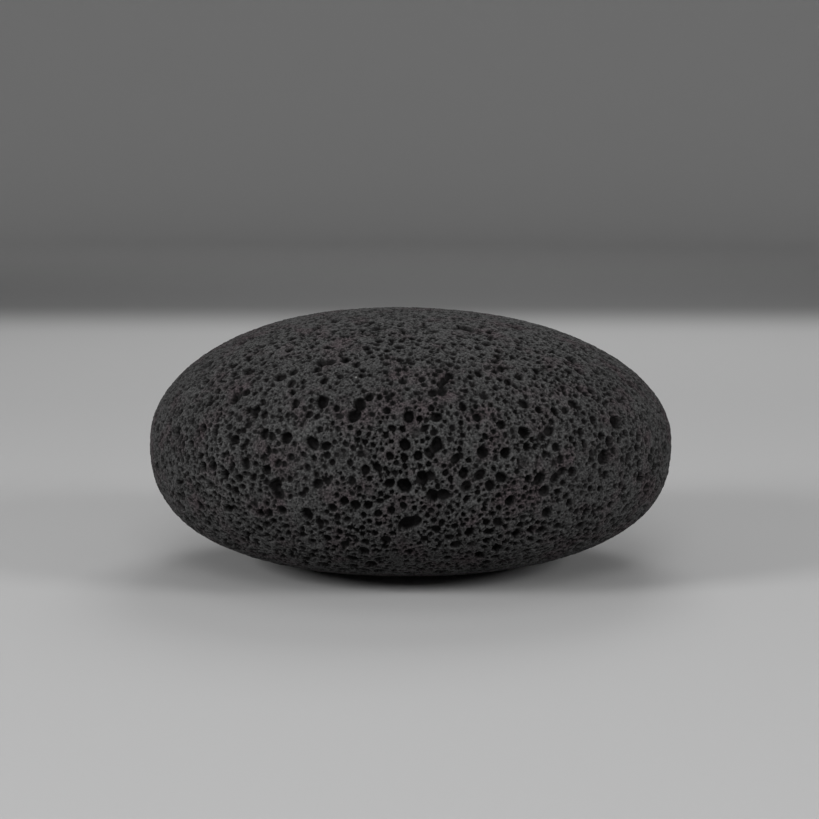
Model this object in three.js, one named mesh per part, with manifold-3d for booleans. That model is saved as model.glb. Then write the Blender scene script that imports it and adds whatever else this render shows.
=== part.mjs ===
// Basalt massage stone: one tumbled pebble of porous lava rock, smooth in outline and pitted
// all over by the gas bubbles that were cut open as it wore down. It is a single piece.
//
// Millimetres, +Z up. +X runs along the length and -Y is the front. The origin is the middle
// of the pebble's box, on the flat that it rests on.

import * as THREE from "three";
import { mergeVertices } from "three/addons/utils/BufferGeometryUtils.js";
import Module from "manifold-3d";

// Driving dimensions of the pebble
const length = 100; // end to end, along X
const width = 84; // front to back, along Y
const crownHeight = 25.2; // from the widest level up to the crown
const restDepth = 24.1; // from the widest level down to the flat it rests on
const flatWear = 0.2; // height worn off the belly by that flat

// Shape of the outline
const eggShift = 1.5; // the broadest place lies this far towards -X
const crownLean = -0.95; // the crown leans this far along X
const planPower = 2.1; // 2 is an ellipse, and more is squarer
const crownPower = 2.08;
const bellyPower = 2.48;

// Pits: burst bubbles wide enough to see from arm's length. Each one is a ball-shaped bite
// as deep as this share of its width.
const pitDepthShare = 0.55;

// The pits of the front, as [degrees right of straight ahead, degrees up, width].
// A wider hollow is two pits that run together.
const frontPits = [
  [1, -21, 2.4],
  [2.5, -20, 2.2],
  [0.5, -4.5, 2.2],
  [4, -1.5, 2.1],
  [5.5, -0.5, 1.7],
  [6, -9, 2],
  [8, -8.5, 1.9],
  [12, 0.5, 1.6],
  [12.5, -5, 1.9],
  [19.5, -2, 1.7],
  [21.5, -12, 1.6],
  [14, -25, 1.7],
  [24.5, -26.5, 1.8],
  [27.5, -3.5, 1.8],
  [-10.5, 23, 2.1],
  [7.5, 22.5, 1.6],
  [7, 12, 2],
  [5.5, 8.5, 1.6],
  [-19, 12, 1.8],
  [-25, 13.5, 1.9],
  [-23.5, 45, 1.8],
  [-21, 45.5, 1.8],
  [-16.5, 47, 1.8],
  [-45.5, 38.5, 1.7],
  [-44, 38.5, 1.7],
  [-30, 40, 1.6],
  [-37.5, 11, 1.6],
  [-27, -6, 1.8],
  [-26.5, -9.5, 1.8],
  [20.5, 8, 1.7],
  [27.5, 26.5, 1.7],
  [19, 30.5, 1.6],
];

// The pits of every other side stand on a sunflower spiral, and their widths step through a
// range. The middle of the front and the flat underneath are left out.
const spiralStations = 52;
const spiralTurn = 137.508; // degrees from one station to the next
const spiralWidths = [1.8, 2.7]; // narrowest and widest
const widthStep = 0.618; // share of that range from one station to the next
const frontReach = 54; // degrees to each side of straight ahead
const frontRise = 46; // degrees above and below
const flatReach = -52; // degrees up, below which no pit is cut

// Where the belly would end with no flat, below the widest level.
const bellyDepth = restDepth + flatWear;

// Fineness of the facets
const skinDetail = 11;
const pitDetail = 1;

const wasm = await Module();
wasm.setup();

const radians = THREE.MathUtils.degToRad;

// A unit direction turned right of straight ahead (-Y) and raised, both in degrees.
function heading(right, up) {
  return new THREE.Vector3(
    Math.sin(radians(right)) * Math.cos(radians(up)),
    -Math.cos(radians(right)) * Math.cos(radians(up)),
    Math.sin(radians(up)),
  );
}

// Half sizes of the pebble on the side that a unit direction points to.
function halfSizes(unit) {
  return new THREE.Vector3(
    length / 2 + (unit.x < 0 ? -eggShift : eggShift),
    width / 2,
    unit.z < 0 ? bellyDepth : crownHeight,
  );
}

// The point of the skin that belongs to a unit direction: the direction divided by its
// superellipse size, stretched by the half sizes, leaned at the crown and stood on the flat.
function skinPoint(unit) {
  const power = unit.z < 0 ? bellyPower : crownPower;
  const plan = Math.abs(unit.x) ** planPower + Math.abs(unit.y) ** planPower;
  const size = (plan ** (power / planPower) + Math.abs(unit.z) ** power) ** (1 / power);
  const point = unit.clone().divideScalar(size);
  const lean = crownLean * Math.max(point.z, 0) ** 2;
  point.multiply(halfSizes(unit));
  point.x += lean - eggShift;
  point.z += restDepth;
  return point;
}

// The way out of the skin at a unit direction, as on an ellipsoid of the same half sizes.
function outward(unit) {
  return unit.clone().divide(halfSizes(unit)).normalize();
}

// A closed geometry as a manifold-3d solid, with its shared vertices merged.
function solid(geometry) {
  geometry.deleteAttribute("normal");
  geometry.deleteAttribute("uv");
  const merged = mergeVertices(geometry);
  return new wasm.Manifold(
    new wasm.Mesh({
      numProp: 3,
      vertProperties: merged.attributes.position.array,
      triVerts: new Uint32Array(merged.index.array),
    }),
  );
}

// A manifold-3d solid as a geometry.
function geometryOf(body) {
  const mesh = body.getMesh();
  const geometry = new THREE.BufferGeometry();
  geometry.setAttribute("position", new THREE.BufferAttribute(mesh.vertProperties, 3));
  geometry.setIndex(new THREE.BufferAttribute(mesh.triVerts, 1));
  geometry.computeVertexNormals();
  return geometry;
}

// The pebble before it is pitted: an even ball of facets, each corner moved to the skin.
function pebble() {
  const geometry = new THREE.IcosahedronGeometry(1, skinDetail);
  const places = geometry.attributes.position;
  const unit = new THREE.Vector3();
  for (let i = 0; i < places.count; i += 1) {
    unit.fromBufferAttribute(places, i).normalize();
    places.setXYZ(i, ...skinPoint(unit));
  }
  return solid(geometry);
}

// All that lies below the flat.
function underFlat() {
  const margin = 1.5;
  const drop = 2 * flatWear + 1;
  const slab = new THREE.BoxGeometry(length * margin, width * margin, drop);
  slab.translate(0, 0, -drop / 2);
  return solid(slab);
}

// One pit: a ball whose cap, cut off by the skin, has the pit's width and depth.
function pit(right, up, pitWidth) {
  const depth = pitDepthShare * pitWidth;
  const radius = (pitWidth ** 2 / 4 + depth ** 2) / (2 * depth);
  const unit = heading(right, up);
  const centre = skinPoint(unit).addScaledVector(outward(unit), radius - depth);
  const ball = new THREE.IcosahedronGeometry(radius, pitDetail);
  ball.translate(...centre);
  return solid(ball);
}

// Where the pits of the other sides lie, in the same form as the front's.
function spiralPits() {
  const [narrowest, widest] = spiralWidths;
  const pits = [];
  for (let i = 0; i < spiralStations; i += 1) {
    const up = THREE.MathUtils.radToDeg(Math.asin(1 - (2 * i + 1) / spiralStations));
    const right = ((i * spiralTurn + 180) % 360) - 180;
    const inFront = Math.abs(right) < frontReach && Math.abs(up) < frontRise;
    if (inFront || up < flatReach) continue;
    const share = (i * widthStep) % 1;
    pits.push([right, up, narrowest + share * (widest - narrowest)]);
  }
  return pits;
}

function stoneGeometry() {
  let body = pebble().subtract(underFlat());
  for (const [right, up, pitWidth] of [...frontPits, ...spiralPits()]) {
    body = body.subtract(pit(right, up, pitWidth));
  }
  return geometryOf(body);
}

const basalt = new THREE.MeshStandardMaterial({ color: 0x3b3b3d, roughness: 0.92, metalness: 0 });

const stone = new THREE.Mesh(stoneGeometry(), basalt);
stone.name = "stone";

const group = new THREE.Group();
group.add(stone);

export default group;
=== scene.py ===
"""Basalt massage stone: a palm-size pebble of porous lava rock on a pale studio floor.

The pebble is one stone. Its skin is carved out of a smooth egg-like form by thousands of gas
bubbles, and is kept as ten wedges that meet without a gap and run to the stone's middle.
"""

import itertools
import math

import bpy
import numpy as np
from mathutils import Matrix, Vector
from mathutils.kdtree import KDTree


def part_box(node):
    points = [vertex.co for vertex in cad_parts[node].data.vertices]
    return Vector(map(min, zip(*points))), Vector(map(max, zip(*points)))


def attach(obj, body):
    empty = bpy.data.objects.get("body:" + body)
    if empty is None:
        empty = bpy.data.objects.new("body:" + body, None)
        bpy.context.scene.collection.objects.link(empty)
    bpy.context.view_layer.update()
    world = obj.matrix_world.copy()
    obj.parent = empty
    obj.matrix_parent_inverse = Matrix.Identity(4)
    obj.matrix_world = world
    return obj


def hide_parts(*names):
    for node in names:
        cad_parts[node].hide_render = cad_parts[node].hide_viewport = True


bl_info = {
    "name": "Basalt massage stone",
    "version": (1, 0, 0),
    "blender": (4, 5, 0),
    "location": "3D View > Sidebar > Massage Stone",
    "description": "Carves a porous basalt massage stone and stands it on a studio floor",
    "category": "Object",
}

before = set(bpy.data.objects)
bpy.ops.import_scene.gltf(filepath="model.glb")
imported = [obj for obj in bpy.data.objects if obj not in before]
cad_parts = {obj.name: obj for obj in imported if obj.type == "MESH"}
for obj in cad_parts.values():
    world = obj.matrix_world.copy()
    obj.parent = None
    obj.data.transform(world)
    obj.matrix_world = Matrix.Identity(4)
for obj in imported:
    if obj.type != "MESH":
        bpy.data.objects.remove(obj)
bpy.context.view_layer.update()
STONE_LOW, STONE_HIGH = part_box("stone")
STONE_SIZE = STONE_HIGH - STONE_LOW

MM = 0.001

# The pits of the front that are wide enough to be known by their place, as
# (degrees right of straight ahead, degrees up, width in mm, depth as a share of the width).
FRONT_PITS = [
    (1, -21, 2.4, 0.9),
    (2.5, -20, 2.2, 0.8),
    (0.5, -4.5, 2.2, 0.9),
    (4, -1.5, 2.1, 0.8),
    (5.5, -0.5, 1.7, 0.7),
    (6, -9, 2, 0.9),
    (8, -8.5, 1.9, 0.8),
    (12, 0.5, 1.6, 0.9),
    (12.5, -5, 1.9, 0.6),
    (19.5, -2, 1.7, 0.9),
    (21.5, -12, 1.6, 0.9),
    (14, -25, 1.7, 0.9),
    (24.5, -26.5, 1.8, 0.9),
    (27.5, -3.5, 1.8, 0.9),
    (-10.5, 23, 2.1, 0.9),
    (7.5, 22.5, 1.6, 0.9),
    (7, 12, 2, 0.9),
    (5.5, 8.5, 1.6, 0.8),
    (-19, 12, 1.8, 0.9),
    (-25, 13.5, 1.9, 0.9),
    (-23.5, 45, 1.8, 0.8),
    (-21, 45.5, 1.8, 0.8),
    (-16.5, 47, 1.8, 0.8),
    (-45.5, 38.5, 1.7, 0.8),
    (-44, 38.5, 1.7, 0.8),
    (-30, 40, 1.6, 0.8),
    (-37.5, 11, 1.6, 0.9),
    (-27, -6, 1.8, 0.9),
    (-26.5, -9.5, 1.8, 0.9),
    (20.5, 8, 1.7, 0.9),
    (27.5, 26.5, 1.7, 0.8),
    (19, 30.5, 1.6, 0.6),
    (-7, -13, 1.5, 0.9),
    (-12, -11.5, 1.5, 0.9),
    (-14.5, -14.5, 1.4, 0.9),
    (-5, -16.5, 1.3, 0.9),
    (-7.5, 2, 1.5, 0.8),
    (-5, 3, 1.4, 0.9),
    (-2.5, -3.5, 1.5, 0.9),
    (-7.5, 30.5, 1.5, 0.9),
    (-16, 11, 1.3, 0.9),
    (-28.5, 35, 1.4, 0.8),
    (-43.5, 13, 1.1, 0.9),
    (-43.5, 15, 1, 0.9),
    (-46, -1.5, 1.4, 0.9),
    (-43, -0.5, 1.5, 0.9),
    (-34, 2, 1.5, 0.9),
    (-37, -10, 1.5, 0.9),
    (-26, -16.5, 1.5, 0.8),
    (-17.5, -4.5, 1.4, 0.9),
    (-40, -18, 1.5, 0.9),
    (-49.5, -19, 1.5, 0.9),
    (40, 25, 1.5, 0.9),
    (31.5, 9, 1.3, 0.9),
    (31, -3.5, 1.5, 0.9),
    (35, -1.5, 1.5, 0.9),
    (43, 18, 1.4, 0.9),
    (45.5, 9, 1.5, 0.9),
    (44, -4.5, 1.4, 0.9),
    (51, 37.5, 1.5, 0.8),
    (48, 29, 1.4, 0.8),
    (30.5, 37.5, 1.5, 0.8),
    (13.5, 26.5, 1.3, 0.9),
    (18, -25, 1.5, 0.9),
    (7, -23.5, 1.5, 0.9),
]

# Wide shallow hollows of the front, worn nearly flat, in the same form.
FRONT_HOLLOWS = [
    (-12.5, 7.5, 3.4, 0.2),
    (-7.5, 8, 2.4, 0.2),
    (1.5, 20.5, 2.2, 0.22),
    (3, 16.5, 2.2, 0.25),
    (-32, -11, 3, 0.2),
    (-47, 31.5, 3.6, 0.1),
    (38.5, 40.5, 3.8, 0.1),
    (9, 27.5, 1.8, 0.25),
]

# Every other bubble that the skin cuts open, from the widest to the finest, as
# (narrowest opening in mm, widest opening in mm, openings for each square mm of skin).
BUBBLE_CLASSES = [
    (2.0, 2.6, 0.003),
    (1.4, 2.0, 0.015),
    (1.0, 1.4, 0.06),
    (0.7, 1.0, 0.23),
    (0.46, 0.7, 0.65),
]

# The finest bubbles fill the rock on a lattice, one to a cell, as (cell in mm, share of the
# cells that have one, smallest and largest half width as shares of the cell).
FINE_BUBBLES = [
    (0.66, 0.6, 0.22, 0.4),
    (0.45, 0.6, 0.24, 0.42),
]

# The stone's six sides, as (way out, way to the right, way up) seen from outside.
SIDES = {
    "front": ((0, -1, 0), (1, 0, 0), (0, 0, 1)),
    "back": ((0, 1, 0), (-1, 0, 0), (0, 0, 1)),
    "right": ((1, 0, 0), (0, 1, 0), (0, 0, 1)),
    "left": ((-1, 0, 0), (0, -1, 0), (0, 0, 1)),
    "crown": ((0, 0, 1), (1, 0, 0), (0, 1, 0)),
    "under": ((0, 0, -1), (1, 0, 0), (0, -1, 0)),
}

# The ten wedges, as (name, side, where it starts and ends between -1 at the side's left edge
# and 1 at its right edge).
WEDGES = [
    ("stone_front_left", "front", -1, 0),
    ("stone_front_right", "front", 0, 1),
    ("stone_back_left", "back", 0, 1),
    ("stone_back_right", "back", -1, 0),
    ("stone_left_end", "left", -1, 1),
    ("stone_right_end", "right", -1, 1),
    ("stone_crown_left", "crown", -1, 0),
    ("stone_crown_right", "crown", 0, 1),
    ("stone_under_left", "under", -1, 0),
    ("stone_under_right", "under", 0, 1),
]

# Steps of the skin's grid along a side's edges that run with X, Y and Z.
GRID_STEPS = (480, 400, 244)

# The random draws of the stone, and of each kind of noise in it.
SEED = 20
WAVE_SEED = SEED + 1
GRAIN_SEED = SEED + 3
WOBBLE_SEED = SEED + 5
PATCH_SEED = SEED + 7
FINE_SEED = SEED + 30

# Layers of noise, as (cell in mm, weight): the skin's slow waves, its fine grain, and how
# uneven the bubbles' widths are as shares of them.
WAVE_LAYERS = [(21, 1), (9, 0.45)]
GRAIN_LAYERS = [(0.9, 1), (0.4, 0.9)]
WOBBLE_LAYERS = [(0.8, 0.1), (0.4, 0.07)]

# What is taken off each noise, so that the skin lies a little inside the smooth form.
WAVE_SINK = 0.15
GRAIN_SINK = 0.5

# From this share of the way down to the flat, the waves fade out and the grain loses the
# share below.
FLAT_START = 0.9
FLAT_GRAIN_LOSS = 0.6

# The rounding of the flat's edge, where more is sharper.
EDGE_SHARPNESS = 600

# What a table holds for each bubble that is cut: its middle and half width as a ball, the
# half width of its opening, the direction it is drawn out in and how many times as long.
BUBBLE_KEYS = ("centre", "radius", "opening", "long_way", "stretch")
STRETCHES = (1, 1.35)

# A rim is worn over this share of the opening's half width, and as deep as that share of it.
RIM_WEAR_WIDTH = 0.45
RIM_WEAR_DEPTH = 0.14

# The painted shade inside a bubble is at its darkest below this share of its opening's half width.
FULL_SHADE_DEPTH = 0.9

# How the bubbles lie: the places tried for each one wanted, and the least distance between
# two of them as shares of their half widths' sum.
TRIES = 4
WALLS = (1.05, 1.5)

# The rock is coarser in some patches, which are about PATCH_CELL mm wide. The classes of
# bubbles over WIDE_LIMIT mm are kept in a share c = COARSE_USUAL + COARSE_CHANGE * noise, and
# the others in the share FINE_USUAL - FINE_CHANGE * c.
PATCH_CELL = 17
WIDE_LIMIT = 1
COARSE_USUAL, COARSE_CHANGE = 0.62, 0.5
FINE_USUAL, FINE_CHANGE = 1.2, 0.3

# Depths as shares of the width, and the share of the bubbles that are shallow.
DEPTH_SHARES = (0.5, 1.15)
SHALLOW_DEPTH_SHARES = (0.15, 0.4)
SHALLOW_SHARE = 0.16

# Bubbles inside the wide ones: how many to each, their half widths as shares of its own, how
# strongly they are drawn towards the stone's middle, and the small opening, as a share of
# their half width, that keeps their rims unworn.
INNER_COUNT = 2
INNER_SHARES = (0.3, 0.55)
INNER_PULL = 0.9
INNER_OPENING = 0.02

# Only a bubble whose opening's half width is over WIDE_OPENING mm has them, and whose own
# half width is under DEEP_LIMIT times that of its opening.
WIDE_OPENING = 0.45
DEEP_LIMIT = 1.2

# The ground's colours past the near floor, by the distance from the middle in metres: where
# each starts to show and where it is full. The far floor is painted light against the lights'
# falloff, and the shade past it is painted shade.
TONE_STEPS = {"far_floor_painted_light": (0.2, 0.44), "shade": (0.45, 0.605), "backdrop": (0.6, 1.15)}

# The bowl that is both floor and wall, in metres: how far out it lies flat, the bend's radius
# and its height.
BOWL_FLAT, BOWL_BEND, BOWL_TOP = 1.15, 0.45, 2.2

# The camera, in mm and degrees: its distance from the stone's widest level, how far to the
# side it stands, how high and how far it is tipped down.
CAMERA_DISTANCE, CAMERA_ASIDE = 394.2, -0.2
CAMERA_RISE, CAMERA_TILT = 8.5, 7.67
LENS, SENSOR = 90, 36

# The studio's soft lights, as (name, place, width and height, share of the whole power).
SOFTBOXES = [
    ("softbox_left", (-0.63, -0.37, 0.33), (0.22, 0.22), 0.37),
    ("softbox_right", (0.64, -0.35, 0.33), (0.22, 0.22), 0.26),
    ("softbox_front", (0, -0.63, 0.49), (0.35, 0.35), 0.16),
    ("softbox_back", (0.09, 0.55, 0.56), (0.35, 0.35), 0.16),
    ("softbox_top", (0, 0, 0.8), (0.4, 0.4), 0.04),
]


class StoneSizes(bpy.types.PropertyGroup):
    """Sizes of the pebble before the bubbles are carved."""

    length: bpy.props.FloatProperty(
        name="Length",
        description="End to end, along X",
        default=STONE_SIZE.x,
        unit="LENGTH",
    )
    width: bpy.props.FloatProperty(
        name="Width",
        description="Front to back, along Y",
        default=STONE_SIZE.y,
        unit="LENGTH",
    )
    height: bpy.props.FloatProperty(
        name="Height",
        description="From the flat underneath to the crown",
        default=STONE_SIZE.z,
        unit="LENGTH",
    )
    rest_depth: bpy.props.FloatProperty(
        name="Rest depth",
        description="From the widest level down to the flat",
        default=24.1 * MM,
        unit="LENGTH",
    )
    flat_wear: bpy.props.FloatProperty(
        name="Flat wear",
        description="Height worn off the belly by the flat",
        default=0.2 * MM,
        unit="LENGTH",
    )
    egg_shift: bpy.props.FloatProperty(
        name="Egg shift",
        description="How far towards -X the broadest place lies",
        default=1.5 * MM,
        unit="LENGTH",
    )
    crown_lean: bpy.props.FloatProperty(
        name="Crown lean",
        description="How far along X the crown leans",
        default=-0.95 * MM,
        unit="LENGTH",
    )
    plan_power: bpy.props.FloatProperty(
        name="Plan power",
        description="Squareness seen from above, where 2 is an ellipse",
        default=2.1,
    )
    crown_power: bpy.props.FloatProperty(
        name="Crown power",
        description="Squareness above the widest level",
        default=2.08,
    )
    belly_power: bpy.props.FloatProperty(
        name="Belly power",
        description="Squareness below the widest level",
        default=2.48,
    )
    waviness: bpy.props.FloatProperty(
        name="Waviness",
        description="Height of the broad, slow unevenness of the skin",
        default=0.22 * MM,
        unit="LENGTH",
    )
    grain: bpy.props.FloatProperty(
        name="Grain",
        description="Height of the fine roughness between the bubbles",
        default=0.075 * MM,
        unit="LENGTH",
    )


class StoneFinish(bpy.types.PropertyGroup):
    """Colours and surface of the basalt."""

    basalt: bpy.props.FloatVectorProperty(
        name="Basalt",
        description="Colour of the worn rock between the bubbles",
        subtype="COLOR",
        default=(0.0535, 0.0533, 0.0534),
    )
    ash: bpy.props.FloatVectorProperty(
        name="Ash",
        description="Colour of the paler patches",
        subtype="COLOR",
        default=(0.063, 0.0631, 0.063),
    )
    rust: bpy.props.FloatVectorProperty(
        name="Rust",
        description="Colour of the faint plum-brown patches",
        subtype="COLOR",
        default=(0.0585, 0.048, 0.051),
    )
    # Painted shade: near black laid into the bubbles, darker the deeper a point lies, in place of
    # the shadow inside them.
    pore_shade: bpy.props.FloatVectorProperty(
        name="Hollow",
        description="Colour deep inside a bubble",
        subtype="COLOR",
        default=(0.0095, 0.0089, 0.0091),
    )
    speck: bpy.props.FloatVectorProperty(
        name="Speck",
        description="Colour of the few pale crystals",
        subtype="COLOR",
        default=(0.2, 0.2, 0.195),
    )
    roughness: bpy.props.FloatProperty(
        name="Roughness",
        description="Roughness of the worn rock",
        subtype="FACTOR",
        default=0.72,
        min=0,
        max=1,
    )


class StageLook(bpy.types.PropertyGroup):
    """The floor, the backdrop and the lights."""

    floor: bpy.props.FloatVectorProperty(
        name="Floor",
        description="Colour of the pale table top",
        subtype="COLOR",
        default=(0.485, 0.485, 0.486),
    )
    # Painted light: the table top is painted paler near its edge, where the lights reach it less.
    far_floor_painted_light: bpy.props.FloatVectorProperty(
        name="Far floor",
        description="Colour of the table top near its edge",
        subtype="COLOR",
        default=(0.52, 0.52, 0.52),
    )
    # Painted shade: the ground just past the table top is painted darker.
    shade: bpy.props.FloatVectorProperty(
        name="Shade",
        description="Colour of the darker ground just past the table top",
        subtype="COLOR",
        default=(0.21, 0.21, 0.21),
    )
    backdrop: bpy.props.FloatVectorProperty(
        name="Backdrop",
        description="Colour of the grey beyond the table",
        subtype="COLOR",
        default=(0.53, 0.53, 0.53),
    )
    softbox_power: bpy.props.FloatProperty(
        name="Softbox power",
        description="Power of all the soft lights together",
        default=9.5,
        unit="POWER",
    )
    room_light: bpy.props.FloatProperty(
        name="Room light",
        description="Brightness of the even light from all round",
        default=0.24,
        min=0,
    )


def smooth_noise(points, cell, seed):
    """Noise from -1 to 1: a block of random numbers, one at each corner of a lattice of that
    cell, read between the corners with the weight 3t^2 - 2t^3 along each axis."""
    side = 48
    block = np.random.default_rng(seed).uniform(-1, 1, (side, side, side))
    place = points / cell
    corner = np.floor(place).astype(int)
    share = place - corner
    share = share * share * (3 - 2 * share)
    total = np.zeros(points.shape[:-1])
    for step in itertools.product((0, 1), repeat=3):
        weight = np.ones_like(total)
        for axis in range(3):
            weight *= share[..., axis] if step[axis] else 1 - share[..., axis]
        index = (corner + step) % side
        total += weight * block[index[..., 0], index[..., 1], index[..., 2]]
    return total


def layered_noise(points, layers, seed):
    """The sum of w * noise over layers of (cell in mm, weight w), each with a seed one up."""
    return sum(
        weight * smooth_noise(points, cell * MM, seed + number)
        for number, (cell, weight) in enumerate(layers)
    )


def heading(right, up):
    """Unit directions turned right of straight ahead (-Y) and raised, both in degrees."""
    turn, rise = np.radians(right), np.radians(up)
    flat = np.cos(rise)
    return np.stack([np.sin(turn) * flat, -np.cos(turn) * flat, np.sin(rise)], -1)


def heart(sizes):
    """The point in the stone's middle, at its widest level, that every ray starts from."""
    return np.array([-sizes.egg_shift, 0, sizes.rest_depth])


def skin_arms(unit, sizes):
    """From the heart to the smooth skin: each unit direction divided by its superellipse size
    ((|x|^p + |y|^p)^(q/p) + |z|^q)^(1/q), stretched by the half sizes and leaned at the crown.
    Under the flat, an arm is shortened to end on it, with a narrow rounded edge."""
    below = unit[..., 2] < 0
    power = np.where(below, sizes.belly_power, sizes.crown_power)
    plan = (np.abs(unit[..., :2]) ** sizes.plan_power).sum(-1)
    size = plan ** (power / sizes.plan_power) + np.abs(unit[..., 2]) ** power
    point = unit / (size ** (1 / power))[..., None]
    half_length = sizes.length / 2 + np.where(unit[..., 0] < 0, -1, 1) * sizes.egg_shift
    belly = sizes.rest_depth + sizes.flat_wear
    half_height = np.where(below, belly, sizes.height - sizes.rest_depth)
    lean = sizes.crown_lean * np.maximum(point[..., 2], 0) ** 2
    arm = np.stack(
        [
            point[..., 0] * half_length + lean,
            point[..., 1] * sizes.width / 2,
            point[..., 2] * half_height,
        ],
        -1,
    )
    past_flat = np.maximum(-arm[..., 2], 0) / sizes.rest_depth
    return arm / ((1 + past_flat**EDGE_SHARPNESS) ** (1 / EDGE_SHARPNESS))[..., None]


class Wedge:
    """One wedge's share of the skin, as a grid of rays from the heart and how far each reaches."""

    def __init__(self, name, side, start, end, sizes):
        self.name = name
        self.out, self.right, self.up = np.array(SIDES[side], float)
        self.start, self.end = start, end
        steps = np.array(GRID_STEPS)
        full = steps[np.abs(self.right).argmax()]
        self.cols = full * (end - start) // 2
        self.rows = steps[np.abs(self.up).argmax()]
        u = start + (end - start) * np.arange(self.cols + 1) / self.cols
        v = -1 + 2 * np.arange(self.rows + 1) / self.rows
        self.unit = self.directions(u[None, :], v[:, None])
        arm = skin_arms(self.unit, sizes)
        self.skin = np.linalg.norm(arm, axis=-1)
        self.ray = arm / self.skin[..., None]
        self.shape_skin(arm, sizes)

    def directions(self, u, v):
        """Unit directions of the side: its way out, plus tan(u 45 deg) of its way to the right
        and tan(v 45 deg) of its way up, divided by their length."""
        along, rise = np.tan(u * math.pi / 4), np.tan(v * math.pi / 4)
        along, rise = np.broadcast_arrays(along, rise)
        size = np.sqrt(1 + along**2 + rise**2)[..., None]
        return (
            self.out + along[..., None] * self.right + rise[..., None] * self.up
        ) / size

    def shape_skin(self, arm, sizes):
        """Gives the skin its slow waviness and fine grain, and how far grid points stand apart.
        Both fade out on the flat underneath, which is worn level."""
        down = -arm[..., 2] / sizes.rest_depth
        on_flat = np.clip((down - FLAT_START) / (1 - FLAT_START), 0, 1)
        wave = layered_noise(arm, WAVE_LAYERS, WAVE_SEED) - WAVE_SINK
        grain = layered_noise(arm, GRAIN_LAYERS, GRAIN_SEED) - GRAIN_SINK
        self.skin += (1 - on_flat) * sizes.waviness * wave
        self.skin += (1 - FLAT_GRAIN_LOSS * on_flat) * sizes.grain * grain
        self.reach = self.skin.copy()
        self.pore_shade = np.zeros_like(self.skin)
        self.wobble = 1 + layered_noise(arm, WOBBLE_LAYERS, WOBBLE_SEED)
        point = self.points()
        self.col_gap = np.linalg.norm(np.diff(point, axis=1), axis=-1)
        self.row_gap = np.linalg.norm(np.diff(point, axis=0), axis=-1)
        for number, layer in enumerate(FINE_BUBBLES):
            self.pierce(*layer, FINE_SEED + number)

    def points(self):
        """From the heart to each point of the skin."""
        return self.ray * self.reach[..., None]

    def pierce(self, cell, share, smallest, largest, seed):
        """Opens the finest bubbles that the skin cuts. Each cell of a lattice holds one ball, and
        a skin point that lies in a ball falls back along its ray to the ball's near side, at
        b - (b^2 - c^2 + r^2)^(1/2), where b is how far along the ray the ball's middle lies."""
        side = 61
        rng = np.random.default_rng(seed)
        middle = rng.uniform(0, 1, (side, side, side, 3))
        radius = rng.uniform(smallest, largest, (side, side, side))
        radius[rng.uniform(size=radius.shape) > share] = 0
        place = self.ray * self.skin[..., None] / (cell * MM)
        low = np.floor(place - 0.5).astype(int)
        for step in itertools.product((0, 1), repeat=3):
            corner = low + step
            index = tuple(np.moveaxis(corner % side, -1, 0))
            ball = corner + middle[index]
            inside = np.flatnonzero(((place - ball) ** 2).sum(-1) < radius[index] ** 2)
            ray, ball = self.ray.reshape(-1, 3)[inside], ball.reshape(-1, 3)[inside]
            size = radius[index].ravel()[inside]
            along = (ray * ball).sum(-1)
            near = along - np.sqrt(np.maximum(along**2 - (ball**2).sum(-1) + size**2, 0))
            fall = self.skin.ravel()[inside] - near * cell * MM
            reach, pore_shade = self.reach.reshape(-1), self.pore_shade.reshape(-1)
            reach[inside] = np.minimum(reach[inside], near * cell * MM)
            # Painted shade: the deeper a point falls into a ball, the darker it is painted.
            depth = np.clip(fall / (FULL_SHADE_DEPTH * size * cell * MM), 0, 1)
            pore_shade[inside] = np.maximum(pore_shade[inside], depth)

    def places(self, unit):
        """The grid's column and row, with fractions, of unit directions, and whether each is
        on this side of the stone at all."""
        least_ahead = 0.3
        ahead = unit @ self.out
        facing = ahead > least_ahead
        ahead = np.where(facing, ahead, 1)
        u = np.arctan((unit @ self.right) / ahead) * 4 / math.pi
        v = np.arctan((unit @ self.up) / ahead) * 4 / math.pi
        col = (u - self.start) / (self.end - self.start) * self.cols
        return col, (v + 1) / 2 * self.rows, facing

    def carve(self, bubbles):
        """Cuts the bubbles into the skin. Along a ray, a bubble reaches from b - d to b + d,
        where b is how far along the ray the bubble's middle lies and d^2 = b^2 - c^2 + r^2.
        A skin point inside that span falls back to its near end. A bubble of which only the
        far end lies under the skin stays closed. Squeezing space along the bubble's long
        direction first makes it a ball."""
        col, row, facing = self.places(bubbles["unit"])
        mid_col, mid_row = col.round().astype(int), row.round().astype(int)
        cell = np.clip(mid_row, 0, self.rows - 1), np.clip(mid_col, 0, self.cols - 1)
        margin = 1.2
        reach = margin * bubbles["radius"] * bubbles["stretch"]
        half_cols = np.ceil(reach / self.col_gap[cell]).astype(int) + 1
        half_rows = np.ceil(reach / self.row_gap[cell]).astype(int) + 1
        touched = (
            facing
            & (col > -half_cols)
            & (col < self.cols + half_cols)
            & (row > -half_rows)
            & (row < self.rows + half_rows)
        )
        # The second pass opens bubbles that stayed closed until others had cut down to them.
        for _ in range(2):
            for k in np.flatnonzero(touched):
                rows = slice(max(mid_row[k] - half_rows[k], 0), mid_row[k] + half_rows[k] + 1)
                cols = slice(max(mid_col[k] - half_cols[k], 0), mid_col[k] + half_cols[k] + 1)
                self.cut(rows, cols, *(bubbles[key][k] for key in BUBBLE_KEYS))

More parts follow.
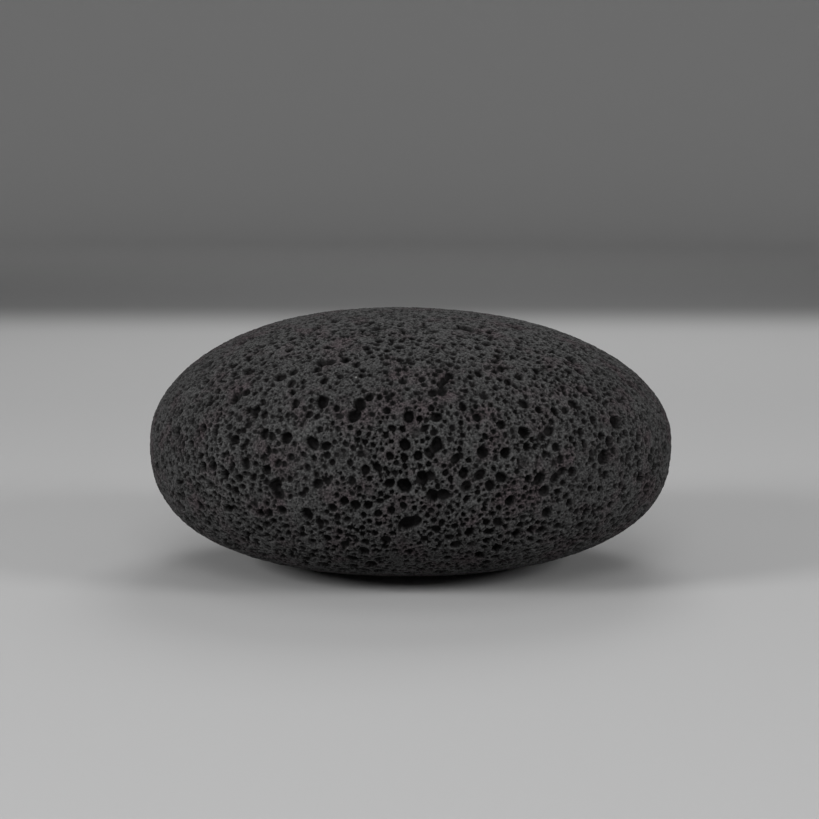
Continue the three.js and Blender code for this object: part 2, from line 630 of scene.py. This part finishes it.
    def cut(self, rows, cols, centre, radius, opening, long_way, stretch):
        """Cuts one bubble into one window of the grid, wears its rim down, and paints shade into
        it by depth.
        """
        squeeze = 1 / stretch - 1
        ray = self.ray[rows, cols]
        ray = ray + squeeze * (ray @ long_way)[..., None] * long_way
        centre = centre + squeeze * (centre @ long_way) * long_way
        length2 = (ray * ray).sum(-1)
        along = (ray @ centre) / length2
        off2 = centre @ centre - along**2 * length2
        wobble = self.wobble[rows, cols]
        reach, skin = self.reach[rows, cols], self.skin[rows, cols]
        span2 = ((radius * wobble) ** 2 - off2) / length2
        span = np.sqrt(np.maximum(span2, 0))
        near, far = along - span, along + span
        rim = np.sqrt(np.maximum(off2, 0)) / (opening * wobble) - 1
        worn = np.clip(1 - rim / RIM_WEAR_WIDTH, 0, 1) ** 2 * RIM_WEAR_DEPTH * opening
        np.minimum(reach, skin - worn, out=reach)
        cut = (span2 > 0) & (far >= reach) & (near < reach)
        reach[cut] = near[cut]
        # Painted shade: the deeper the point lies below the skin, the darker it is painted.
        depth = (skin - reach) / (FULL_SHADE_DEPTH * opening)
        pore_shade = self.pore_shade[rows, cols]
        np.maximum(pore_shade, np.where(cut, np.clip(depth, 0, 1), 0), out=pore_shade)


def outward(unit, sizes):
    """The way out of the skin, as on an ellipsoid of the same half sizes."""
    half = np.array([sizes.length, sizes.width, sizes.height]) / 2
    way = unit / half
    return way / np.linalg.norm(way, axis=-1, keepdims=True)


def bubble_table(unit, width, depth_share, sizes, rng):
    """Bubbles that open the skin at unit directions with that width and depth. A ball of
    radius r = (w^2/4 + d^2) / 2d whose bottom lies d under the skin opens it w wide."""
    opening = width / 2
    depth = depth_share * width
    radius = (opening**2 + depth**2) / (2 * depth)
    out = outward(unit, sizes)
    centre = skin_arms(unit, sizes) + out * (radius - depth)[:, None]
    long_way = np.cross(out, rng.normal(size=out.shape))
    long_way /= np.linalg.norm(long_way, axis=-1, keepdims=True)
    return {
        "unit": unit,
        "centre": centre,
        "radius": radius,
        "opening": opening,
        "long_way": long_way,
        "stretch": rng.uniform(*STRETCHES, len(unit)),
    }


def join_tables(tables):
    """One table out of several, from the bubbles nearest the skin to those farthest in."""
    joined = {key: np.concatenate([t[key] for t in tables]) for key in tables[0]}
    order = np.argsort(-np.linalg.norm(joined["centre"], axis=1), kind="stable")
    return {key: values[order] for key, values in joined.items()}


def even_directions(count, wedges, rng):
    """Unit directions that fall evenly over the skin by area: cells of the wedges' grids are
    drawn with their area as the weight, and a place is drawn inside each."""
    step = 8
    areas, cells = [], []
    for number, wedge in enumerate(wedges):
        area = wedge.col_gap[:-1:step, ::step] * wedge.row_gap[::step, :-1:step]
        areas.append(area.ravel())
        rows, cols = np.indices(area.shape).reshape(2, -1) * step
        cells.append(np.stack([np.full(rows.shape, number), rows, cols], -1))
    areas, cells = np.concatenate(areas), np.concatenate(cells)
    drawn = cells[rng.choice(len(areas), count, p=areas / areas.sum())]
    inside = drawn[:, 1:] + rng.uniform(0, step, (count, 2))
    unit = np.zeros((count, 3))
    for number, wedge in enumerate(wedges):
        mine = drawn[:, 0] == number
        v = -1 + 2 * inside[mine, 0] / wedge.rows
        u = wedge.start + (wedge.end - wedge.start) * inside[mine, 1] / wedge.cols
        unit[mine] = wedge.directions(u, v)
    return unit


def tree_of(points):
    """A tree that finds the points near a place."""
    tree = KDTree(len(points))
    for index, point in enumerate(points):
        tree.insert(point, index)
    tree.balance()
    return tree


def crowd_of(arms, openings):
    """A tree of where bubbles lie, with their half widths and the widest of them."""
    return tree_of(arms), openings, openings.max()


def keeps_walls(place, half_width, wall, crowds):
    """Whether a bubble at that place stays clear of all that are laid: its middle is farther
    from each than the wall times the sum of their half widths."""
    return all(
        gap > wall * (half_width + openings[index])
        for tree, openings, widest in crowds
        for _, index, gap in tree.find_range(place, wall * (half_width + widest))
    )


def scatter(laid, wedges, skin_area, sizes, rng):
    """Lays the bubble classes from the widest to the finest, each where it keeps a wall to
    the bubbles already laid. Patches of noise keep more of the wide or of the fine ones."""
    tables = [laid]
    pits = slice(len(FRONT_PITS))
    crowds = [crowd_of(skin_arms(laid["unit"][pits], sizes), laid["opening"][pits])]
    for narrowest, widest, density in BUBBLE_CLASSES:
        wanted = int(density * skin_area / MM**2)
        unit = even_directions(wanted * TRIES, wedges, rng)
        arms = skin_arms(unit, sizes)
        width = rng.uniform(narrowest, widest, len(unit)) * MM
        patches = smooth_noise(arms, PATCH_CELL * MM, PATCH_SEED)
        kept_share = COARSE_USUAL + COARSE_CHANGE * patches
        if narrowest <= WIDE_LIMIT:
            kept_share = FINE_USUAL - FINE_CHANGE * kept_share
        keep = rng.uniform(size=len(unit)) < kept_share
        wall = rng.uniform(*WALLS, len(unit))
        free = [
            i
            for i in np.flatnonzero(keep)
            if keeps_walls(arms[i], width[i] / 2, wall[i], crowds)
        ]
        unit, arms, width, wall = unit[free], arms[free], width[free], wall[free]
        tree = tree_of(arms)
        taken = np.zeros(len(unit), bool)
        for i in range(len(unit)):
            if taken.sum() >= wanted:
                break
            near = tree.find_range(arms[i], wall[i] * width[i])
            taken[i] = not any(taken[j] for _, j, _ in near)
        unit, arms, width = unit[taken], arms[taken], width[taken]
        depth_share = rng.uniform(*DEPTH_SHARES, len(unit))
        shallow = rng.uniform(size=len(unit)) < SHALLOW_SHARE
        shallow_depth_share = rng.uniform(*SHALLOW_DEPTH_SHARES, len(unit))
        depth_share = np.where(shallow, shallow_depth_share, depth_share)
        tables.append(bubble_table(unit, width, depth_share, sizes, rng))
        crowds.append(crowd_of(arms, width / 2))
    return join_tables(tables)


def inner_bubbles(table, rng):
    """Smaller bubbles that break through the walls and bottoms of the deep wide ones: each has
    its middle on the wall of a wide one, on the side that faces into the stone."""
    deep = table["radius"] < DEEP_LIMIT * table["opening"]
    wide = np.flatnonzero(deep & (table["opening"] > WIDE_OPENING * MM))
    wide = np.repeat(wide, INNER_COUNT)
    way = rng.normal(size=(len(wide), 3))
    inward = -table["centre"][wide]
    inward /= np.linalg.norm(inward, axis=1, keepdims=True)
    way = way / np.linalg.norm(way, axis=1, keepdims=True) + INNER_PULL * inward
    way /= np.linalg.norm(way, axis=1, keepdims=True)
    radius = table["radius"][wide] * rng.uniform(*INNER_SHARES, len(wide))
    inner = {key: values[wide].copy() for key, values in table.items()}
    inner["centre"] = table["centre"][wide] + way * table["radius"][wide][:, None]
    inner["radius"] = radius
    inner["opening"] = INNER_OPENING * radius
    return inner


def skin_normals(wedges):
    """A normal for each grid point of each wedge: the sum of the normals of the faces around
    it, where points that wedges share add up what each wedge has."""
    normals = []
    for wedge in wedges:
        point = wedge.points()
        face = np.cross(point[1:, 1:] - point[:-1, :-1], point[1:, :-1] - point[:-1, 1:])
        total = np.zeros_like(point)
        for row, col in itertools.product((0, 1), repeat=2):
            total[row : row + wedge.rows, col : col + wedge.cols] += face
        normals.append(total)
    edges = [edge_loop(wedge) for wedge in wedges]
    shared = np.concatenate(
        [w.points().reshape(-1, 3)[e] for w, e in zip(wedges, edges, strict=True)]
    )
    flat = [n.reshape(-1, 3) for n in normals]
    sums = np.concatenate([n[e] for n, e in zip(flat, edges, strict=True)])
    same_place = 1e-4 * MM
    key = np.round(shared / same_place).astype(np.int64)
    _, group = np.unique(key, axis=0, return_inverse=True)
    group = group.ravel()
    merged = np.zeros((group.max() + 1, 3))
    np.add.at(merged, group, sums)
    sums = merged[group]
    start = 0
    for normal, edge in zip(flat, edges, strict=True):
        normal[edge] = sums[start : start + len(edge)]
        start += len(edge)
        normal /= np.linalg.norm(normal, axis=1, keepdims=True)
    return flat


def edge_loop(wedge):
    """Numbers of the grid points round the wedge's edge, counter-clockwise from outside."""
    number = np.arange((wedge.rows + 1) * (wedge.cols + 1)).reshape(wedge.rows + 1, -1)
    return np.concatenate(
        [number[0, :-1], number[:-1, -1], number[-1, :0:-1], number[:0:-1, 0]]
    )


def wedge_mesh(wedge, normal, sizes):
    """A closed mesh: the skin's grid of quads, and a fan of triangles from its edge to the
    heart. The skin is shaded smooth with the given normals, and the fan flat."""
    heart_point = heart(sizes)
    points = wedge.points().reshape(-1, 3)
    count = len(points)
    number = np.arange(count).reshape(wedge.rows + 1, -1)
    corners = (number[:-1, :-1], number[:-1, 1:], number[1:, 1:], number[1:, :-1])
    quads = np.stack(corners, -1).reshape(-1, 4)
    loop = edge_loop(wedge)
    fan = np.stack([np.roll(loop, -1), loop, np.full(len(loop), count)], -1)
    side_a = points[fan[:, 0]]
    fan_normal = np.cross(points[fan[:, 1]] - side_a, -side_a)
    fan_normal /= np.linalg.norm(fan_normal, axis=1, keepdims=True)

    mesh = bpy.data.meshes.new(wedge.name)
    mesh.vertices.add(count + 1)
    mesh.loops.add(quads.size + fan.size)
    mesh.polygons.add(len(quads) + len(fan))
    places = np.concatenate([points, np.zeros((1, 3))]) + heart_point
    mesh.vertices.foreach_set("co", places.astype(np.float32).ravel())
    corner_list = np.concatenate([quads.ravel(), fan.ravel()])
    mesh.loops.foreach_set("vertex_index", corner_list.astype(np.int32))
    starts = np.concatenate(
        [np.arange(len(quads)) * 4, quads.size + np.arange(len(fan)) * 3]
    )
    mesh.polygons.foreach_set("loop_start", starts.astype(np.int32))
    mesh.update(calc_edges=True)
    if mesh.validate():
        raise RuntimeError(f"{wedge.name} had faces that had to be mended")
    smooth = np.arange(len(mesh.polygons)) < len(quads)
    mesh.polygons.foreach_set("use_smooth", smooth)
    loop_normals = np.concatenate([normal[quads.ravel()], np.repeat(fan_normal, 3, 0)])
    mesh.normals_split_custom_set(loop_normals)

    # Each point's painted shade, which darkens it by how deep it lies in a bubble.
    pore_shade = mesh.attributes.new("pore_shade", "FLOAT", "POINT")
    depth = np.append(wedge.pore_shade.ravel(), 0)
    pore_shade.data.foreach_set("value", depth.astype(np.float32))
    return mesh


class MaterialNodes:
    """A new material, and the nodes that are added to it. Each method adds one node, links or
    sets its inputs and gives its output."""

    def __init__(self, name):
        self.material = bpy.data.materials.new(name)
        self.material.use_nodes = True
        self.nodes = self.material.node_tree.nodes
        self.links = self.material.node_tree.links
        self.shader = self.nodes["Principled BSDF"]
        self.place = self.nodes.new("ShaderNodeTexCoord").outputs["Object"]

    def feed(self, socket, value):
        """Links an output into the socket, or sets the socket to a number or a colour."""
        if isinstance(value, bpy.types.NodeSocket):
            self.links.new(value, socket)
        elif socket.type == "RGBA":
            socket.default_value = (*value, 1)
        else:
            socket.default_value = value

    def noise(self, scale, detail):
        """Cloudy noise, with that many repeats to the metre."""
        node = self.nodes.new("ShaderNodeTexNoise")
        self.feed(node.inputs["Scale"], scale)
        self.feed(node.inputs["Detail"], detail)
        self.feed(node.inputs["Vector"], self.place)
        return node.outputs["Fac"]

    def cells(self, scale):
        """Cells of random shape, with that many to the metre: a distance and a colour."""
        node = self.nodes.new("ShaderNodeTexVoronoi")
        self.feed(node.inputs["Scale"], scale)
        self.feed(node.inputs["Vector"], self.place)
        return node.outputs

    def remap(self, value, low, high, to_low=0.0, to_high=1.0, smooth=False):
        """The value with low and high turned into to_low and to_high, and held between them."""
        node = self.nodes.new("ShaderNodeMapRange")
        if smooth:
            node.interpolation_type = "SMOOTHSTEP"
        for name, number in (
            ("From Min", low),
            ("From Max", high),
            ("To Min", to_low),
            ("To Max", to_high),
        ):
            self.feed(node.inputs[name], number)
        self.feed(node.inputs["Value"], value)
        return node.outputs["Result"]

    def mix(self, factor, a, b, blend="MIX"):
        """Two colours mixed."""
        node = self.nodes.new("ShaderNodeMix")
        node.data_type = "RGBA"
        node.blend_type = blend
        self.feed(node.inputs["Factor"], factor)
        self.feed(node.inputs["A"], a)
        self.feed(node.inputs["B"], b)
        return node.outputs["Result"]

    def combine(self, operation, first, second):
        """Two numbers put together."""
        node = self.nodes.new("ShaderNodeMath")
        node.operation = operation
        self.feed(node.inputs[0], first)
        self.feed(node.inputs[1], second)
        return node.outputs["Value"]


def basalt_material(finish):
    """Matte charcoal rock: patches of ash and rust in the basalt, with painted shade of near
    black inside the bubbles and in fine pinholes, a fine crystalline grain and a few pale
    crystals."""
    ash_scale, rust_scale, mottle_scale, bump_scale = 130, 170, 2400, 3600
    pinhole_scale, crystal_scale = 2900, 420
    pinhole_strength = 0.7

    made = MaterialNodes("porous_basalt")
    ash = made.remap(made.noise(ash_scale, 3), 0.48, 0.66)
    rust = made.remap(made.noise(rust_scale, 3), 0.5, 0.68)
    mottle = made.remap(made.noise(mottle_scale, 4), 0.36, 0.64, 0.35, 1.45)
    rock = made.mix(ash, finish.basalt, finish.ash)
    rock = made.mix(rust, rock, finish.rust)
    rock = made.mix(1.0, rock, mottle, "MULTIPLY")
    # Painted shade of the finest pinholes: dark spots in the bubbles' painted shade colour, which
    # also dip the bump.
    pinhole_shade_and_dips = made.remap(made.cells(pinhole_scale)["Distance"], 0.34, 0.16)
    pinhole_shade_and_dips = made.combine("MULTIPLY", pinhole_shade_and_dips, pinhole_strength)
    rock = made.mix(pinhole_shade_and_dips, rock, finish.pore_shade)

    # A crystal is the middle of a cell, in the few cells whose colour has the most red.
    crystals = made.cells(crystal_scale)
    chosen = made.nodes.new("ShaderNodeSeparateColor")
    made.feed(chosen.inputs["Color"], crystals["Color"])
    middle = made.remap(crystals["Distance"], 0.1, 0.06)
    few = made.remap(chosen.outputs["Red"], 0.955, 0.96)
    rock = made.mix(made.combine("MULTIPLY", middle, few), rock, finish.speck)

    # Painted shade: the rock turns near black by how deep a point lies in a bubble.
    depth = made.nodes.new("ShaderNodeAttribute")
    depth.attribute_name = "pore_shade"
    deep = made.remap(depth.outputs["Fac"], 0.08, 0.95)
    made.feed(made.shader.inputs["Base Color"], made.mix(deep, rock, finish.pore_shade))
    made.shader.inputs["Roughness"].default_value = finish.roughness
    made.shader.inputs["Specular IOR Level"].default_value = 0.1

    bump = made.nodes.new("ShaderNodeBump")
    bump.inputs["Strength"].default_value = 0.8
    bump.inputs["Distance"].default_value = 0.08 * MM
    height = made.combine("SUBTRACT", made.noise(bump_scale, 4), pinhole_shade_and_dips)
    made.feed(bump.inputs["Height"], height)
    made.feed(made.shader.inputs["Normal"], bump.outputs["Normal"])
    return made.material


class MASSAGESTONE_OT_carve_stone(bpy.types.Operator):
    """Carve the stone's ten wedges"""

    bl_idname = "massagestone.carve_stone"
    bl_label = "Carve stone"

    def execute(self, context):
        sizes = context.scene.stone_sizes
        rng = np.random.default_rng(SEED)
        wedges = [Wedge(*row, sizes) for row in WEDGES]
        skin_area = sum((w.col_gap[:-1] * w.row_gap[:, :-1]).sum() for w in wedges)
        known = np.array(FRONT_PITS + FRONT_HOLLOWS, float)
        unit = heading(known[:, 0], known[:, 1])
        laid = bubble_table(unit, known[:, 2] * MM, known[:, 3], sizes, rng)
        table = scatter(laid, wedges, skin_area, sizes, rng)
        table = join_tables([table, inner_bubbles(table, rng)])
        for wedge in wedges:
            wedge.carve(table)
        material = basalt_material(context.scene.stone_finish)
        for wedge, normal in zip(wedges, skin_normals(wedges), strict=True):
            piece = bpy.data.objects.new(wedge.name, wedge_mesh(wedge, normal, sizes))
            context.scene.collection.objects.link(piece)
            piece.data.materials.append(material)
            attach(piece, "root")
            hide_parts("stone")
        return {"FINISHED"}


def stage_material(look):
    """A pale matte table top, painted a little lighter towards its edge to make up for the
    lights' falloff, that turns to painted shade past its edge, and that to the backdrop's grey.
    The distance from the middle is (x^8 + y^8)^(1/8), which makes the edge straight on all four
    sides."""
    power = 8.0
    made = MaterialNodes("studio_grey")
    parts = made.nodes.new("ShaderNodeSeparateXYZ")
    made.feed(parts.inputs["Vector"], made.place)
    raised = [
        made.combine("POWER", made.combine("ABSOLUTE", parts.outputs[axis], 0.0), power)
        for axis in ("X", "Y")
    ]
    distance = made.combine("POWER", made.combine("ADD", *raised), 1 / power)
    tone = look.floor
    for name, (start, end) in TONE_STEPS.items():
        share = made.remap(distance, start, end, smooth=True)
        tone = made.mix(share, tone, getattr(look, name))
    made.feed(made.shader.inputs["Base Color"], tone)
    made.shader.inputs["Roughness"].default_value = 0.8
    made.shader.inputs["Specular IOR Level"].default_value = 0.2
    return made.material


def bowl_mesh(name):
    """A floor that curves up into a round wall: the profile runs out flat, turns up a quarter
    circle and rises, and is carried round the upright axis."""
    flat_rings = [0, 0.3, 0.6, 0.9]
    bend_rings, count = 16, 96
    turn = np.linspace(0, math.pi / 2, bend_rings)
    out = [flat_rings, BOWL_FLAT + BOWL_BEND * np.sin(turn), [BOWL_FLAT + BOWL_BEND]]
    rise = [np.zeros(len(flat_rings)), BOWL_BEND * (1 - np.cos(turn)), [BOWL_TOP]]
    out, rise = np.concatenate(out), np.concatenate(rise)
    around = np.arange(count) * 2 * math.pi / count
    ring = np.stack([np.cos(around), np.sin(around)], -1)
    rings = [
        np.column_stack([reach * ring, np.full(count, level)])
        for reach, level in zip(out[1:], rise[1:], strict=True)
    ]
    points = np.concatenate([[[0, 0, 0]], *rings])
    start = 1 + np.arange(len(rings))[:, None] * count + np.arange(count)
    after = np.roll(start, -1, axis=1)
    middle = [(0, a, b) for a, b in zip(start[0], after[0], strict=True)]
    quads = np.stack([start[:-1], start[1:], after[1:], after[:-1]], -1).reshape(-1, 4)
    mesh = bpy.data.meshes.new(name)
    mesh.from_pydata(points.tolist(), [], [*map(list, middle), *quads.tolist()])
    mesh.polygons.foreach_set("use_smooth", np.ones(len(mesh.polygons), bool))
    mesh.update()
    return mesh


def add_softbox(context, name, place, aim, size, power):
    """A rectangular light of size (wide, deep) at place, turned towards aim."""
    data = bpy.data.lights.new(name, "AREA")
    data.shape = "RECTANGLE"
    data.size, data.size_y = size
    data.energy = power
    light = bpy.data.objects.new(name, data)
    context.scene.collection.objects.link(light)
    light.location = place
    light.rotation_euler = (Vector(aim) - Vector(place)).to_track_quat("-Z", "Y").to_euler()
    light.visible_camera = False


class MASSAGESTONE_OT_set_stage(bpy.types.Operator):
    """Set the floor, the backdrop, the lights and the camera"""

    bl_idname = "massagestone.set_stage"
    bl_label = "Set stage"

    def execute(self, context):
        scene = context.scene
        look = scene.stage_look
        floor = bpy.data.objects.new("studio_floor", bowl_mesh("studio_floor"))
        scene.collection.objects.link(floor)
        floor.data.materials.append(stage_material(look))

        for name, place, size, share in SOFTBOXES:
            power = share * look.softbox_power
            add_softbox(context, name, place, (0, 0, 0), size, power)

        world = bpy.data.worlds.new("studio")
        scene.world = world
        world.use_nodes = True
        background = world.node_tree.nodes["Background"]
        background.inputs["Color"].default_value = (1, 1, 1, 1)
        background.inputs["Strength"].default_value = look.room_light

        self.place_camera(context)
        scene.view_settings.view_transform = "Standard"
        return {"FINISHED"}

    def place_camera(self, context):
        """A long lens a little above the table, in front of the stone."""
        distance, rise = CAMERA_DISTANCE * MM, math.radians(CAMERA_RISE)
        data = bpy.data.cameras.new("camera")
        data.lens, data.sensor_width = LENS, SENSOR
        camera = bpy.data.objects.new("camera", data)
        context.scene.collection.objects.link(camera)
        widest = context.scene.stone_sizes.rest_depth
        camera.location = (
            CAMERA_ASIDE * MM,
            -distance * math.cos(rise),
            widest + distance * math.sin(rise),
        )
        camera.rotation_euler = (math.pi / 2 - math.radians(CAMERA_TILT), 0, 0)
        context.scene.camera = camera


class MASSAGESTONE_PT_panel(bpy.types.Panel):
    """Sizes, finish and stage of the massage stone"""

    bl_label = "Massage Stone"
    bl_idname = "MASSAGESTONE_PT_panel"
    bl_space_type = "VIEW_3D"
    bl_region_type = "UI"
    bl_category = "Massage Stone"

    def draw(self, context):
        for group in ("stone_sizes", "stone_finish", "stage_look"):
            settings = getattr(context.scene, group)
            box = self.layout.box()
            for name in settings.__annotations__:
                box.prop(settings, name)
        for operator in OPERATORS:
            self.layout.operator(operator.bl_idname)


OPERATORS = (MASSAGESTONE_OT_carve_stone, MASSAGESTONE_OT_set_stage)
GROUPS = {"stone_sizes": StoneSizes, "stone_finish": StoneFinish, "stage_look": StageLook}


def register():
    for cls in (*GROUPS.values(), *OPERATORS, MASSAGESTONE_PT_panel):
        bpy.utils.register_class(cls)
    for name, group in GROUPS.items():
        setattr(bpy.types.Scene, name, bpy.props.PointerProperty(type=group))


def unregister():
    for name in GROUPS:
        delattr(bpy.types.Scene, name)
    for cls in reversed((*GROUPS.values(), *OPERATORS, MASSAGESTONE_PT_panel)):
        bpy.utils.unregister_class(cls)


def main():
    register()
    bpy.ops.massagestone.carve_stone()
    bpy.ops.massagestone.set_stage()


if __name__ == "__main__":
    main()
